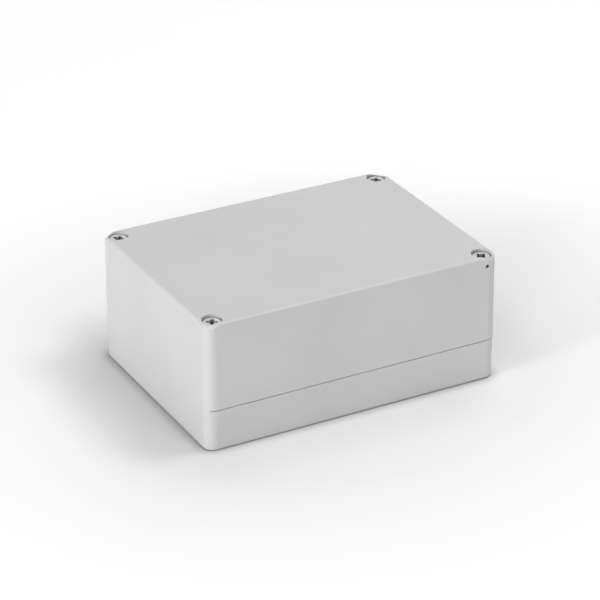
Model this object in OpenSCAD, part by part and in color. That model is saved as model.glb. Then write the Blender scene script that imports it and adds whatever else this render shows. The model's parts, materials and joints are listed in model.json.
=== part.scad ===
// Sealed plastic project box: shallow base, deep lid, cord gasket, and four captive lid screws.
// Millimetres. The origin is the middle of the underside, +X runs along the box and +Z is up.

/* [Box] */
// Outside length at the parting line
box_l = 180; // [150:1:260]
// Outside width at the parting line
box_w = 130; // [116:1:200]
// Height of the base, from the table to the parting line
base_h = 24.5; // [20:0.5:40]
// Height of the lid, from the parting line to its top face
lid_h = 50.5; // [36:0.5:90]
// Radius of the four upright corners at the parting line
corner_r = 6.2; // [5:0.1:9]
// Thickness of the sealed side walls at the parting line
wall_t = 4; // [3.6:0.1:5]
// Thickness of the base floor and of the lid top
plate_t = 3; // [2:0.1:4]
// Lean of every wall away from the parting line, in degrees
draft = 0.5; // [0.1:0.1:1]
// Radius along the top edge of the lid
top_edge_r = 1.2; // [0.6:0.1:1.6]
// Radius along the bottom edge of the base
foot_edge_r = 1.4; // [0.6:0.1:2]
// Radius of the upright corners inside the sealed space
inner_corner_r = 2.6; // [2.2:0.1:5]

/* [Softened lid corners] */
// Radius of the rounding that drops each top corner of the lid
dip_r = 8.4; // [7:0.1:12]
// Where that rounding starts, measured from the corner along the diagonal
dip_reach = 8.5; // [6:0.1:10]

/* [Parting line] */
// Height of the shadow groove around the parting line
shadow_h = 0.5; // [0.3:0.1:0.8]
// Depth of the shadow groove
shadow_d = 0.8; // [0.4:0.1:1]
// Width of the gasket groove in the rim of the lid
groove_w = 1.6; // [1.2:0.1:1.8]
// Depth of the gasket groove
groove_h = 3; // [2.4:0.1:4]
// Height of the gasket cord in its groove
gasket_h = 1.4; // [1:0.1:1.8]
// Clearance at each side of the tongue on the base
tongue_gap = 0.2; // [0.1:0.05:0.3]
// Clearance at each side of the gasket
gasket_gap = 0.05; // [0.02:0.01:0.1]

/* [Lid screws] */
// Distance from both outside faces to a screw's axis
screw_inset = 7.5; // [7.2:0.1:9]
// Diameter of the well that holds a screw head
well_d = 11.2; // [10.6:0.1:12]
// Depth of the well below the lid top
well_h = 7; // [6.6:0.1:10]
// Diameter of a screw head
head_d = 9.6; // [8.8:0.1:10]
// Height of a screw head
head_h = 4.3; // [4:0.1:5.5]
// Bevel around the top of a screw head
head_bevel = 0.4; // [0.2:0.1:0.8]
// Diameter of the shank and over the thread
shank_d = 5; // [4.6:0.1:5.4]
// Diameter at the root of the thread
root_d = 3.9; // [3.4:0.1:4.2]
// Rise of the thread in one turn
pitch = 1.5; // [1.3:0.1:1.8]
// Width of a thread ridge at its root
ridge_w = 1; // [0.8:0.05:1.1]
// Width of the flat crest of a thread ridge
crest_w = 0.3; // [0.2:0.05:0.5]
// Height of the collar between the thread and the ring
collar_h = 0.3; // [0.2:0.05:0.3]
// Clearance around the shank in the lid
shank_gap = 0.5; // [0.3:0.1:0.8]
// Length of thread that grips in the base
grip_h = 7; // [5:0.1:9]
// Clearance around the thread in its hole
thread_gap = 0.05; // [0.02:0.01:0.1]
// Depth of the threaded hole below the screw's tip
hole_spare = 3; // [1:0.1:6]
// Bevel at the screw's tip
tip_bevel = 0.8; // [0.4:0.1:1.2]
// Length of each wing of the cross recess, tip to tip
cross_l = 7; // [5:0.1:7.6]
// Width of the wings
cross_w = 1.7; // [1.2:0.1:2.2]
// Depth of the wings
cross_h = 3.2; // [2:0.1:3.6]
// Diameter of the round middle of the recess
core_d = 3.6; // [2.6:0.1:4.2]
// Depth of the round middle
core_h = 3.8; // [2:0.1:3.9]
// Radius of the column that carries a screw
column_r = 8.2; // [7.8:0.1:9]

/* [Captive rings] */
// Outside diameter of the ring that keeps a screw in the lid
ring_d = 8; // [7.2:0.1:8.6]
// Height of the ring
ring_h = 1.8; // [1.2:0.1:2.4]
// Height of the tightened ring above the parting line
ring_lift = 0.4; // [0.2:0.1:1]
// Diameter of the neck that the ring sits on
neck_d = 4; // [3.4:0.1:4.4]
// Running clearance between ring and neck
neck_gap = 0.05; // [0.02:0.01:0.1]
// How far a loosened screw rises until its ring meets the lid
travel = 7.5; // [5:0.1:9]
// Clearance around and above the ring in its pocket
pocket_gap = 0.3; // [0.2:0.05:0.5]

/* [Wall mounting] */
// Diameter of the mounting holes in the floor
mount_d = 4.6; // [3.5:0.1:5.5]
// Distance from a screw's axis to the mounting hole beside it
mount_step = 14; // [13:0.1:18]
// Thickness of the floor under a mounting screw's head
mount_floor = 5; // [3:0.1:8]
// Thickness of the outside wall beside a mounting pocket
pocket_wall = 2.5; // [2:0.1:3.5]

/* [Board bosses] */
// Distance of the outer bosses from the middle, along the box
boss_x = 62; // [40:0.5:63]
// Distance of the bosses from the middle, across the box
boss_y = 46; // [30:0.5:48]
// Diameter of a boss
boss_d = 7; // [5:0.1:9]
// Height of a boss above the floor
boss_h = 6; // [3:0.1:10]
// Width of the flare at a boss's foot
boss_flare = 1.2; // [0.5:0.1:2]
// Diameter of the pilot hole for a board screw
pilot_d = 2.9; // [2:0.1:3.5]
// Depth of the pilot hole
pilot_h = 7; // [4:0.1:7.5]

/* [Sealing wire] */
// Diameter of the sealing-wire hole through the lid wall
wire_d = 2.4; // [1.5:0.1:2.8]
// Depth of that hole's axis below the lid top
wire_drop = 5.2; // [4.5:0.1:5.4]

/* [Underside] */
// Width of the standing rim around the underside
sole_w = 14; // [12:0.5:20]
// Depth of the recess inside the standing rim
sole_h = 0.8; // [0.4:0.1:1.4]

/* [Hidden] */
$fn = 48;
over = 1;
top_z = base_h + lid_h;
seat_z = top_z - well_h;
screw_x = box_l / 2 - screw_inset;
screw_y = box_w / 2 - screw_inset;
mount_y = screw_y - mount_step;
// The pocket is a little narrower than the column, so that their outlines cross cleanly.
pocket_step = 0.4;
pocket_r = column_r - pocket_step;
notch_x = screw_x - pocket_r;
notch_y = mount_y - pocket_r;
blend_back = 2;
groove_in = (wall_t - groove_w) / 2;
groove_out = groove_in + groove_w;
gasket_z = base_h + groove_h - gasket_h;
ring_z = base_h + ring_lift;
tip_z = base_h - grip_h;
// Turn of each cross recess about its screw, in degrees.
turn_front_left = 20;
turn_front_right = 50;
turn_back_left = 5;
turn_back_right = 35;
shell_grey = [0.82, 0.82, 0.81];
screw_grey = [0.74, 0.74, 0.73];
seal_black = [0.13, 0.13, 0.13];

// How far a drafted wall leans in over a height.
function lean(h) = h * tan(draft);

// Copies of one corner's shape at all four corners.
module four_corners() {
  for (turn = [0, 180]) {
    rotate([0, 0, turn]) {
      children();
      mirror([0, 1, 0]) children();
    }
  }
}

// Section of a drafted wall, from x = 0 out to its face, with its far edge rounded.
module flank(reach, h, edge_r) {
  crest_x = reach - lean(h - edge_r) - edge_r / cos(draft);
  crest_z = h - edge_r;
  union() {
    polygon([[0, 0], [reach, 0],
             [crest_x + edge_r * cos(draft), crest_z + edge_r * sin(draft)],
             [crest_x, h], [0, h]]);
    translate([crest_x, crest_z]) circle(r = edge_r);
  }
}

// One side of a drafted block: its section drawn out along X.
module side_strip(len, at_y, r, h, edge_r) {
  translate([0, at_y, 0])
    rotate([90, 0, 90])
      linear_extrude(height = len, center = true) flank(r, h, edge_r);
}

// A drafted block with round upright corners; z = 0 is its wide end.
// Its middle, four sides and four corners meet face to face.
module drafted_block(half_x, half_y, r, h, edge_r) {
  x = half_x - r;
  y = half_y - r;
  union() {
    translate([-x, -y, 0]) cube([2 * x, 2 * y, h]);
    for (turn = [0, 180]) {
      rotate([0, 0, turn]) {
        side_strip(2 * x, y, r, h, edge_r);
        rotate([0, 0, 90]) side_strip(2 * y, x, r, h, edge_r);
        translate([x, y, 0]) rotate_extrude(angle = 90) flank(r, h, edge_r);
        translate([-x, y, 0]) rotate([0, 0, 90]) rotate_extrude(angle = 90) flank(r, h, edge_r);
      }
    }
  }
}

// Flat plate with round corners.
module round_plate(half_x, half_y, r, h) {
  union() {
    translate([r - half_x, -half_y, 0]) cube([2 * (half_x - r), 2 * half_y, h]);
    translate([-half_x, r - half_y, 0]) cube([2 * half_x, 2 * (half_y - r), h]);
    four_corners() translate([half_x - r, half_y - r, 0]) cylinder(h = h, r = r);
  }
}

// Everything within a distance d of the outer walls and of the corner pockets.
module sealed_plate(d, h) {
  r = inner_corner_r + wall_t - d;
  blend = pocket_r + d;
  union() {
    round_plate(box_l / 2 - d, notch_y - d, r, h);
    round_plate(notch_x - d, box_w / 2 - d, r, h);
    four_corners()
      difference() {
        translate([screw_x - blend - blend_back, mount_y - blend - blend_back, 0])
          cube([blend + blend_back, blend + blend_back, h]);
        translate([screw_x, mount_y, -over]) cylinder(h = h + 2 * over, r = blend);
      }
  }
}

// Loop along the seal, between two distances from the outer wall.
module seal_loop(from_d, to_d, h) {
  difference() {
    sealed_plate(from_d, h);
    translate([0, 0, -over]) sealed_plate(to_d, h + 2 * over);
  }
}

// Open pocket beside a screw column, outside the seal; a mounting screw goes in here.
module corner_pocket(h) {
  side_x = box_l / 2 - pocket_wall;
  difference() {
    union() {
      intersection() {
        translate([screw_x, mount_y, 0]) cylinder(h = h, r = pocket_r);
        cube([side_x, mount_y + pocket_r + over, h]);
      }
      translate([screw_x, notch_y, 0]) cube([side_x - screw_x, screw_y - notch_y, h]);
      translate([notch_x, mount_y, 0]) cube([side_x - notch_x, screw_y - mount_y, h]);
    }
    translate([screw_x, screw_y, -over]) cylinder(h = h + 2 * over, r = column_r);
  }
}

// What the rounding takes off one top corner of the lid.
module corner_dip() {
  top_lean = lean(lid_h);
  translate([box_l / 2 - top_lean, box_w / 2 - top_lean, top_z])
    rotate([0, 0, 45])
      rotate([90, 0, 0])
        linear_extrude(height = 4 * dip_reach, center = true)
          difference() {
            translate([-dip_reach, -dip_r]) square([dip_reach + dip_r, dip_r + over]);
            translate([-dip_reach, -dip_r]) circle(r = dip_r);
          }
}

// One boss for a board screw, flared where it meets the floor.
module board_boss() {
  cylinder(h = boss_h, d = boss_d);
  cylinder(h = boss_flare, d1 = boss_d + 2 * boss_flare, d2 = boss_d);
}

// Places of the six board bosses.
module at_bosses() {
  for (x = [-boss_x, 0, boss_x]) {
    for (y = [-boss_y, boss_y]) {
      translate([x, y, plate_t]) children();
    }
  }
}

module base() {
  color(shell_grey)
    difference() {
      union() {
        difference() {
          translate([0, 0, base_h])
            rotate([180, 0, 0]) drafted_block(box_l / 2, box_w / 2, corner_r, base_h, foot_edge_r);
          translate([0, 0, plate_t]) sealed_plate(wall_t, base_h);
          // The shadow groove is a step around the top of the base.
          translate([0, 0, base_h - shadow_h])
            difference() {
              translate([-box_l / 2 - over, -box_w / 2 - over, 0])
                cube([box_l + 2 * over, box_w + 2 * over, shadow_h + over]);
              translate([0, 0, -over])
                round_plate(box_l / 2 - shadow_d, box_w / 2 - shadow_d,
                            corner_r - shadow_d, shadow_h + 3 * over);
            }
        }
        // The tongue presses the gasket into its groove.
        translate([0, 0, base_h - over])
          seal_loop(groove_in + tongue_gap, groove_out - tongue_gap, over + groove_h - gasket_h);
        at_bosses() board_boss();
      }
      four_corners()
        union() {
          translate([0, 0, mount_floor]) corner_pocket(base_h);
          translate([screw_x, mount_y, -over])
            cylinder(h = mount_floor + 2 * over, d = mount_d);
          translate([screw_x, screw_y, tip_z - hole_spare])
            cylinder(h = grip_h + hole_spare + over, d = shank_d + 2 * thread_gap);
        }
      at_bosses()
        translate([0, 0, boss_h - pilot_h]) cylinder(h = pilot_h + over, d = pilot_d);
      translate([0, 0, -over])
        round_plate(box_l / 2 - sole_w, box_w / 2 - sole_w, corner_r, sole_h + over);
    }
}

module lid() {
  color(shell_grey)
    difference() {
      translate([0, 0, base_h]) drafted_block(box_l / 2, box_w / 2, corner_r, lid_h, top_edge_r);
      translate([0, 0, base_h - over]) sealed_plate(wall_t, lid_h - plate_t + over);
      translate([0, 0, base_h - over]) seal_loop(groove_in, groove_out, groove_h + over);
      four_corners()
        union() {
          translate([0, 0, base_h - over]) corner_pocket(lid_h - plate_t + over);
          translate([screw_x, screw_y, base_h - over])
            cylinder(h = over + ring_lift + ring_h + travel + pocket_gap,
                     d = ring_d + 2 * pocket_gap);
          translate([screw_x, screw_y, base_h])
            cylinder(h = lid_h, d = shank_d + 2 * shank_gap);
          translate([screw_x, screw_y, seat_z]) cylinder(h = well_h + over, d = well_d);
          corner_dip();
        }
      // Sealing wire passes through two opposite corners.
      for (turn = [0, 180]) {
        rotate([0, 0, turn])
          translate([screw_x, -screw_y, top_z - wire_drop])
            rotate([90, 0, 0]) cylinder(h = screw_inset + over, d = wire_d);
      }
    }
}

module gasket() {
  color(seal_black)
    translate([0, 0, gasket_z])
      seal_loop(groove_in + gasket_gap, groove_out - gasket_gap, gasket_h);
}

// Outline of a lid screw from its axis outwards, from the tip to the head.
// The thread is drawn as level ridges, one to each turn.
module screw_profile() {
  head_z = seat_z + head_h;
  neck_z = ring_z - neck_gap;
  neck_top_z = ring_z + ring_h + neck_gap;
  thread_z = tip_z + tip_bevel;
  ridges = floor((grip_h - tip_bevel) / pitch);
  slope_w = (ridge_w - crest_w) / 2;
  thread = [for (k = [0:ridges - 1])
              for (step = [[root_d, 0], [shank_d, slope_w],
                           [shank_d, slope_w + crest_w], [root_d, ridge_w]])
                [step[0] / 2, thread_z + k * pitch + step[1]]];
  polygon(concat(
    [[0, tip_z], [root_d / 2 - tip_bevel, tip_z]],
    thread,
    [[root_d / 2, neck_z - collar_h], [shank_d / 2, neck_z - collar_h],
     [shank_d / 2, neck_z], [neck_d / 2, neck_z],
     [neck_d / 2, neck_top_z], [shank_d / 2, neck_top_z],
     [shank_d / 2, seat_z], [head_d / 2, seat_z],
     [head_d / 2, head_z - head_bevel], [head_d / 2 - head_bevel, head_z], [0, head_z]]));
}

module lid_screw(side_x, side_y, turn) {
  head_z = seat_z + head_h;
  color(screw_grey)
    translate([side_x * screw_x, side_y * screw_y, 0])
      rotate([0, 0, turn])
        difference() {
          rotate_extrude() screw_profile();
          translate([0, 0, head_z - core_h]) cylinder(h = core_h + over, d = core_d);
          for (quarter = [0, 90]) {
            rotate([0, 0, quarter])
              translate([-cross_l / 2, -cross_w / 2, head_z - cross_h])
                cube([cross_l, cross_w, cross_h + over]);
          }
        }
}

module captive_ring(side_x, side_y) {
  color(seal_black)
    translate([side_x * screw_x, side_y * screw_y, ring_z])
      difference() {
        cylinder(h = ring_h, d = ring_d);
        translate([0, 0, -over]) cylinder(h = ring_h + 2 * over, d = neck_d + 2 * neck_gap);
      }
}

base();
lid();
gasket();
lid_screw(-1, -1, turn_front_left);  // screw_front_left
lid_screw(1, -1, turn_front_right);  // screw_front_right
lid_screw(-1, 1, turn_back_left);  // screw_back_left
lid_screw(1, 1, turn_back_right);  // screw_back_right
captive_ring(-1, -1);  // captive_ring_front_left
captive_ring(1, -1);  // captive_ring_front_right
captive_ring(-1, 1);  // captive_ring_back_left
captive_ring(1, 1);  // captive_ring_back_right
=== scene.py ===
import json
import math

import bmesh
import bpy
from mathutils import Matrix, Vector


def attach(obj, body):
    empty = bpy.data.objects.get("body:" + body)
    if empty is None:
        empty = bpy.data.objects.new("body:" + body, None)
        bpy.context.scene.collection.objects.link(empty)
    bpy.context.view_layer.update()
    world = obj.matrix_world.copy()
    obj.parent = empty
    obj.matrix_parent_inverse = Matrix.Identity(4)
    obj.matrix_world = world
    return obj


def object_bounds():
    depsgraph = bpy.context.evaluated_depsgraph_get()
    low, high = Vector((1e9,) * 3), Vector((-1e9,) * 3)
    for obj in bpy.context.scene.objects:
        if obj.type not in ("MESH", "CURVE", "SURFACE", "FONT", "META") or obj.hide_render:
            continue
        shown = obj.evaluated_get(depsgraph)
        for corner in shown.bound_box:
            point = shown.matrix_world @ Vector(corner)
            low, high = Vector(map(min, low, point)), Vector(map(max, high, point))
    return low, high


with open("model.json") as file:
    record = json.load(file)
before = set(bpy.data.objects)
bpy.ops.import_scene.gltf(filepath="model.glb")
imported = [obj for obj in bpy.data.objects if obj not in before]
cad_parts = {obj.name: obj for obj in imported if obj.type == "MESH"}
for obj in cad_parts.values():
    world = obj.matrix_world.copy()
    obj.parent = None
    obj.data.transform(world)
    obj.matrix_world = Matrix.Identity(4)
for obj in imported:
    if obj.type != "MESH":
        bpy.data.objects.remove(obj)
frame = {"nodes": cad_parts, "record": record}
cadBox = [list(corner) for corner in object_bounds()]
scene = bpy.context.scene

# Driving sizes in mm. The first three come from the frame.
perMm = 0.001
halfX, halfY, top = [round(side / perMm, 3) for side in cadBox[1]]
cornerRadius = 6.2
seam = 24.5  # height of the parting line


# An sRGB hex text as the linear colour that shaders use, with alpha 1.
def linearColour(text):
    parts = [int(text[i:i + 2], 16) / 255 for i in (1, 3, 5)]
    return [p / 12.92 if p <= 0.04045 else ((p + 0.055) / 1.055) ** 2.4 for p in parts] + [1.0]


# Adds one node; settings go on the node, inputs are plain values or output sockets.
def addNode(tree, kind, settings=None, inputs=None):
    node = tree.nodes.new(kind)
    for name, value in (settings or {}).items():
        setattr(node, name, value)
    for name, value in (inputs or {}).items():
        if isinstance(value, bpy.types.NodeSocket):
            tree.links.new(value, node.inputs[name])
        else:
            node.inputs[name].default_value = value
    return node


# What all materials share: where a mix node keeps its colours, and how patterns and hollows are read.
mixFirst, mixSecond, mixResult = 6, 7, 2
white = "#FFFFFF"
black = "#000000"
noise = {"roughness": 0.55, "low": 0.3, "high": 0.7}  # nearly all of the noise lies between low and high
hollow = {"samples": 8, "low": 0.3, "high": 0.75}  # openness where the painted shade is darkest, and where it ends


# A moulded surface: faint clouds of tone, uneven gloss, a grain bump and, if asked, painted shade in the
# hollows.
def mouldedMaterial(name, look):
    material = bpy.data.materials.new(name)
    material.use_nodes = True
    tree = material.node_tree
    tree.nodes.clear()
    place = addNode(tree, "ShaderNodeTexCoord").outputs["Object"]

    patterns = {}
    for use, sizeMm, detail in (
            ("shade", look["cloudMm"], 2),
            ("gloss", look["cloudMm"] / 3, 3),
            ("grain", look["grainMm"], 3)):
        patterns[use] = addNode(tree, "ShaderNodeTexNoise", inputs={
            "Vector": place, "Scale": 1 / (sizeMm * perMm),
            "Detail": detail, "Roughness": noise["roughness"]}).outputs["Fac"]
    for use, low, high in (("shade", 0, 1), ("gloss", look["roughLow"], look["roughHigh"])):
        patterns[use] = addNode(tree, "ShaderNodeMapRange", inputs={
            "Value": patterns[use], "From Min": noise["low"], "From Max": noise["high"],
            "To Min": low, "To Max": high}).outputs["Result"]

    # faint clouds, as the melt leaves them when it fills the mould
    colour = addNode(tree, "ShaderNodeMix", {"data_type": "RGBA"}, {
        "Factor": patterns["shade"],
        mixFirst: linearColour(look["dark"]),
        mixSecond: linearColour(look["light"])}).outputs[mixResult]
    # painted shade: the colour turns dark where the surface is closed in, as in the recesses of the screw
    # heads
    if look["paintedShadeMm"]:
        openness = addNode(tree, "ShaderNodeAmbientOcclusion", {"samples": hollow["samples"]}, {
            "Distance": look["paintedShadeMm"] * perMm}).outputs["AO"]
        unshadedAmount = addNode(tree, "ShaderNodeMapRange", inputs={
            "Value": openness, "From Min": hollow["low"], "From Max": hollow["high"]}).outputs["Result"]
        colour = addNode(tree, "ShaderNodeMix", {"data_type": "RGBA"}, {
            "Factor": unshadedAmount,
            mixFirst: linearColour(look["paintedShadeColour"]),
            mixSecond: colour}).outputs[mixResult]
    grain = addNode(tree, "ShaderNodeBump", inputs={
        "Strength": look["grainStrength"], "Distance": look["grainDepthMm"] * perMm,
        "Height": patterns["grain"]}).outputs["Normal"]
    shader = addNode(tree, "ShaderNodeBsdfPrincipled", inputs={
        "Base Color": colour, "Roughness": patterns["gloss"], "Normal": grain,
        "IOR": look["ior"], "Specular IOR Level": look["specular"]})
    addNode(tree, "ShaderNodeOutputMaterial", inputs={"Surface": shader.outputs["BSDF"]})
    return material


# The real grain of all four is 0.05 to 0.1 mm, too fine to show, and is drawn several times coarser.
# Light grey ABS, moulded against a fine spark-eroded steel face: soft, even sheen and a barely visible grain.
shellLook = {
    "dark": "#CDCDCD", "light": "#D2D2D2", "cloudMm": 60, "roughLow": 0.40, "roughHigh": 0.48,
    "grainMm": 0.45, "grainDepthMm": 0.02, "grainStrength": 0.25, "ior": 1.53, "specular": 0.5, "paintedShadeMm": 0}
# Grey polyamide, moulded smooth: slightly glossier and lighter than the shell, with painted shade darkening
# its hollows.
screwLook = {
    "dark": "#CFCFCF", "light": "#D6D6D6", "cloudMm": 8, "roughLow": 0.28, "roughHigh": 0.38,
    "grainMm": 0.3, "grainDepthMm": 0.01, "grainStrength": 0.2, "ior": 1.53, "specular": 0.5,
    "paintedShadeMm": 4, "paintedShadeColour": "#2A2A2A"}
# Black EPDM rubber cord, extruded: matt, with a faint skin.
sealLook = {
    "dark": "#1C1C1C", "light": "#262626", "cloudMm": 10, "roughLow": 0.55, "roughHigh": 0.7,
    "grainMm": 0.4, "grainDepthMm": 0.03, "grainStrength": 0.3, "ior": 1.5, "specular": 0.4, "paintedShadeMm": 0}
# Black nitrile rubber, moulded: a little glossier than the cord.
ringLook = {
    "dark": "#1A1A1A", "light": "#232323", "cloudMm": 5, "roughLow": 0.4, "roughHigh": 0.5,
    "grainMm": 0.3, "grainDepthMm": 0.01, "grainStrength": 0.2, "ior": 1.52, "specular": 0.5, "paintedShadeMm": 0}

looks = {
    "shell": mouldedMaterial("MouldedGreyAbs", shellLook),
    "screws": mouldedMaterial("MouldedGreyPolyamide", screwLook),
    "seal": mouldedMaterial("ExtrudedBlackEpdm", sealLook),
    "rings": mouldedMaterial("MouldedBlackNitrile", ringLook),
}
slotOf = {row["node"]: row["material_slot"] for row in frame["record"]["subparts"]}
for name, node in frame["nodes"].items():
    node.data.materials.clear()
    node.data.materials.append(looks[slotOf[name]])
print("materials are on", len(frame["nodes"]), "pieces")


# A closed solid through loops of points in mm; ring joins the last loop to the first in place of end caps.
def loft(name, loops, ring=False):
    built = bmesh.new()
    rows = [[built.verts.new(Vector(point) * perMm) for point in loop] for loop in loops]
    count = len(loops[0])
    for here, there in zip(rows, rows[1:] + rows[:1] if ring else rows[1:]):
        for i in range(count):
            j = (i + 1) % count
            built.faces.new((here[i], here[j], there[j], there[i]))
    if not ring:
        built.faces.new(rows[0][::-1])
        built.faces.new(rows[-1])
    bmesh.ops.recalc_face_normals(built, faces=built.faces)
    mesh = bpy.data.meshes.new(name)
    built.to_mesh(mesh)
    built.free()
    return bpy.data.objects.new(name, mesh)


# Trims a CAD piece with a hidden solid that rides on the same body.
def trim(node, tool, body, operation="DIFFERENCE"):
    scene.collection.objects.link(tool)
    tool.hide_render = True
    tool.hide_viewport = True
    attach(tool, body)
    cut = frame["nodes"][node].modifiers.new(tool.name, "BOOLEAN")
    cut.operation = operation
    cut.object = tool
    cut.solver = "EXACT"


# Points around a rounded rectangle, each with its outward direction.
def roundedPath(halfLong, halfWide, radius, step=7.5):
    path = []
    for quarter in range(4):
        sideX, sideY = ((1, 1), (-1, 1), (-1, -1), (1, -1))[quarter]
        for k in range(int(90 / step) + 1):
            angle = math.radians(quarter * 90 + k * step)
            way = (math.cos(angle), math.sin(angle))
            path.append(((sideX * (halfLong - radius) + radius * way[0],
                          sideY * (halfWide - radius) + radius * way[1]), way))
    return path


def circle(x, y, z, radius, count=64):
    turns = [2 * math.pi * k / count for k in range(count)]
    return [(x + radius * math.cos(t), y + radius * math.sin(t), z) for t in turns]


# Foot: the walls end just above the floor and the base stands on a rim set in from them.
foot = {"in": 2.5, "height": 0.5, "over": 2}
outside = roundedPath(halfX + foot["over"], halfY + foot["over"], cornerRadius + foot["over"])
inside = roundedPath(halfX - foot["in"], halfY - foot["in"], cornerRadius - foot["in"])
footLoops = [[(*point, z) for point, way in path] for path, z in (
    (outside, -foot["over"]), (outside, foot["height"]), (inside, foot["height"]), (inside, -foot["over"]))]
trim("base", loft("FootGap", footLoops, ring=True), "base")

# Parting line: flush on the short sides, with the shadow groove left on the long ones.
# A filler runs along the rim wherever the wall faces far enough (reach) to the left or right.
flush = {"below": 0.004, "tall": 0.6, "under": 0.01, "deep": 1.2, "reach": 0.6}
fillerTop, fillerLow = seam - flush["below"], seam - flush["tall"]
rim = roundedPath(halfX, halfY, cornerRadius)
for name, side in (("FlushLeft", -1), ("FlushRight", 1)):
    shown = [(point, way) for point, way in rim if side * way[0] > flush["reach"]]
    if side > 0:
        shown.sort(key=lambda item: item[0][1])  # the rim starts on this side, so its two ends are joined
    sections = []
    for (px, py), (wx, wy) in shown:
        sections.append([(px - wx * inward, py - wy * inward, z) for inward, z in (
            (flush["under"], fillerLow), (flush["under"], fillerTop),
            (flush["deep"], fillerTop), (flush["deep"], fillerLow))])
    trim("base", loft(name, sections), "base", "UNION")
print("foot and parting line are trimmed")


# A rectangular loop around a middle, turned about it.
def bar(x, y, z, length, width, degrees):
    turn = math.radians(degrees)
    along = Vector((math.cos(turn), math.sin(turn), 0)) * length / 2
    across = Vector((-math.sin(turn), math.cos(turn), 0)) * width / 2
    return [Vector((x, y, z)) + along * a + across * b for a, b in ((1, 1), (-1, 1), (-1, -1), (1, -1))]


# Heads: each sits a little below the mouth of its well, with a cross recess around a deep round middle.
head = {
    "inset": 7.5, "sunk": 1.6, "height": 5, "radius": 5.15, "bevel": 0.4,
    "coreTopR": 2.2, "coreLowR": 1.8, "coreDeep": 6.8,
    "wingLong": 6.2, "wingWide": 1.7, "wingDeep": 3.4, "over": 0.5}
turned = {"front_left": 61, "front_right": 16, "back_left": 41, "back_right": 56}
headTop = top - head["sunk"]
for corner, degrees in turned.items():
    end, side = corner.split("_")
    x = (halfX - head["inset"]) * (1 if side == "right" else -1)
    y = (halfY - head["inset"]) * (1 if end == "back" else -1)
    node = "screw_" + corner
    cap = loft("Cap_" + corner, [
        circle(x, y, headTop - head["height"], head["radius"]),
        circle(x, y, headTop - head["bevel"], head["radius"]),
        circle(x, y, headTop, head["radius"] - head["bevel"])])
    trim(node, cap, node, "UNION")
    core = loft("Core_" + corner, [
        circle(x, y, headTop - head["coreDeep"], head["coreLowR"]),
        circle(x, y, headTop + head["over"], head["coreTopR"])])
    trim(node, core, node)
    for quarter in (0, 90):
        wing = loft(f"Wing{quarter}_{corner}", [
            bar(x, y, z, head["wingLong"], head["wingWide"], degrees + quarter)
            for z in (headTop - head["wingDeep"], headTop + head["over"])])
        trim(node, wing, node)
print("screw heads are trimmed")


# One value for rays that light the scene, and another where the camera or a reflection looks.
def seenOnly(tree, lighting, seen):
    path = addNode(tree, "ShaderNodeLightPath")
    ray = path.outputs["Is Camera Ray"]
    for other in ("Is Glossy Ray", "Is Transmission Ray"):
        ray = addNode(tree, "ShaderNodeMath", {"operation": "MAXIMUM"}, {
            0: ray, 1: path.outputs[other]}).outputs[0]
    return addNode(tree, "ShaderNodeMapRange", inputs={
        "Value": ray, "To Min": lighting, "To Max": seen}).outputs["Result"]


# Floor: a wide sheet of matt white paper, with no sheen of its own. A painted glow that only the camera and
# reflections see lifts it to white away from the box, and painted shadow darkens it under the walls and
# around them.
floorLook = {
    "halfM": 6.0, "colour": white, "rough": 0.9, "glow": 0.2, "glowFromM": 0.13, "glowToM": 0.28,
    "contactM": 0.007, "contactShade": 0.7, "aroundM": 0.09, "aroundShade": 0.84,
    "samples": 16, "shadeFrom": 0.5, "shadeTo": 0.98}
half = floorLook["halfM"]
floorMesh = bpy.data.meshes.new("Floor")
floorCorners = [(-half, -half, 0), (half, -half, 0), (half, half, 0), (-half, half, 0)]
floorMesh.from_pydata(floorCorners, [], [(0, 1, 2, 3)])
floor = bpy.data.objects.new("Floor", floorMesh)
scene.collection.objects.link(floor)
paper = bpy.data.materials.new("MattWhitePaper")
paper.use_nodes = True
tree = paper.node_tree
tree.nodes.clear()
# painted contact shadow under the walls and painted shade around the box, darker where the floor is closed in
shades = []
for name in ("contact", "around"):
    openness = addNode(tree, "ShaderNodeAmbientOcclusion", {"samples": floorLook["samples"]}, {
        "Distance": floorLook[name + "M"]}).outputs["AO"]
    shades.append(addNode(tree, "ShaderNodeMapRange", inputs={
        "Value": openness, "From Min": floorLook["shadeFrom"], "From Max": floorLook["shadeTo"],
        "To Min": floorLook[name + "Shade"], "To Max": 1}).outputs["Result"])
bothShades = addNode(tree, "ShaderNodeMath", {"operation": "MULTIPLY"}, {
    0: shades[0], 1: shades[1]}).outputs[0]
shaded = addNode(tree, "ShaderNodeMix", {"data_type": "RGBA"}, {
    "Factor": bothShades,
    mixFirst: linearColour(black),
    mixSecond: linearColour(floorLook["colour"])}).outputs[mixResult]
away = addNode(tree, "ShaderNodeVectorMath", {"operation": "LENGTH"}, {
    "Vector": addNode(tree, "ShaderNodeTexCoord").outputs["Object"]}).outputs["Value"]
# painted glow, rising with the distance from the box
glow = addNode(tree, "ShaderNodeMapRange", inputs={
    "Value": away, "From Min": floorLook["glowFromM"], "From Max": floorLook["glowToM"],
    "To Min": 0, "To Max": floorLook["glow"]}).outputs["Result"]
paperShader = addNode(tree, "ShaderNodeBsdfPrincipled", inputs={
    "Base Color": shaded, "Roughness": floorLook["rough"], "Specular IOR Level": 0,
    "Emission Color": linearColour(white), "Emission Strength": seenOnly(tree, 0, glow)})
addNode(tree, "ShaderNodeOutputMaterial", inputs={"Surface": paperShader.outputs["BSDF"]})
floorMesh.materials.append(paper)
print("floor is laid")

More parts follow.
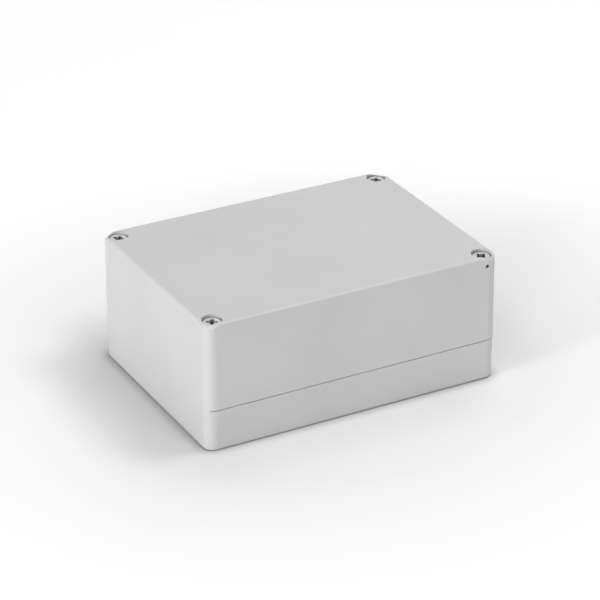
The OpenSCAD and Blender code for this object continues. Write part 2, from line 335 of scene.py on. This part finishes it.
# World: even white light, and pure white where the camera or a reflection sees it.
worldLook = {"light": 0.1, "seen": 1.0}
world = bpy.data.worlds.new("Studio")
scene.world = world
world.use_nodes = True
tree = world.node_tree
tree.nodes.clear()
sky = addNode(tree, "ShaderNodeBackground", inputs={
    "Color": linearColour(white), "Strength": seenOnly(tree, worldLook["light"], worldLook["seen"])})
addNode(tree, "ShaderNodeOutputWorld", inputs={"Surface": sky.outputs["Background"]})


# The direction from the box towards an azimuth and elevation; azimuth 0 is the front, and -90 is the left.
def towards(azimuth, elevation):
    around, above = math.radians(azimuth), math.radians(elevation)
    return Vector((
        math.sin(around) * math.cos(above), -math.cos(around) * math.cos(above), math.sin(above)))


# Soft boxes, all at one distance and turned to the middle of the box; size is the width in metres.
lampDistance = 3.2
lamps = {
    "LowLeft": {"azimuth": -80, "elevation": 12, "size": 1.0, "watts": 43.7},
    "LowNearCorner": {"azimuth": -45, "elevation": 12, "size": 1.0, "watts": 22.6},
    "HighLeft": {"azimuth": -75, "elevation": 62, "size": 1.2, "watts": 7.8},
    "HighFront": {"azimuth": 15, "elevation": 62, "size": 1.2, "watts": 18.7},
    "HighRight": {"azimuth": 75, "elevation": 62, "size": 1.2, "watts": 26.7},
    "HighBackRight": {"azimuth": 120, "elevation": 62, "size": 1.2, "watts": 10.3},
    "HighBack": {"azimuth": 165, "elevation": 62, "size": 1.2, "watts": 6.4},
    "BackRight": {"azimuth": 135, "elevation": 35, "size": 1.2, "watts": 5.3},
}
middle = Vector((0, 0, top * perMm / 2))
for name, lamp in lamps.items():
    data = bpy.data.lights.new(name, "AREA")
    data.shape = "DISK"
    data.size = lamp["size"]
    data.energy = lamp["watts"]
    light = bpy.data.objects.new(name, data)
    scene.collection.objects.link(light)
    way = towards(lamp["azimuth"], lamp["elevation"])
    light.location = middle + way * lampDistance
    light.rotation_euler = way.to_track_quat("Z", "Y").to_euler()
    light.visible_camera = False
print("lamps:", ", ".join(lamps))

# Camera: a long lens from the front left, above. Lens and sensor are in mm, distances in metres.
shot = {
    "azimuth": -28.525, "elevation": 26.882, "distance": 1.44978, "right": 0.000827, "up": 0.002711,
    "lens": 155.959, "sensor": 36, "clipEnd": 30}
cameraData = bpy.data.cameras.new("Camera")
cameraData.lens = shot["lens"]
cameraData.sensor_width = shot["sensor"]
cameraData.clip_end = shot["clipEnd"]
camera = bpy.data.objects.new("Camera", cameraData)
scene.collection.objects.link(camera)
back = towards(shot["azimuth"], shot["elevation"])
turn = math.radians(shot["azimuth"])
right = Vector((math.cos(turn), math.sin(turn), 0))
up = back.cross(right)
camera.location = middle + back * shot["distance"] + right * shot["right"] + up * shot["up"]
camera.rotation_euler = back.to_track_quat("Z", "Y").to_euler()
scene.camera = camera
scene.view_settings.view_transform = "Standard"
print("camera is set")
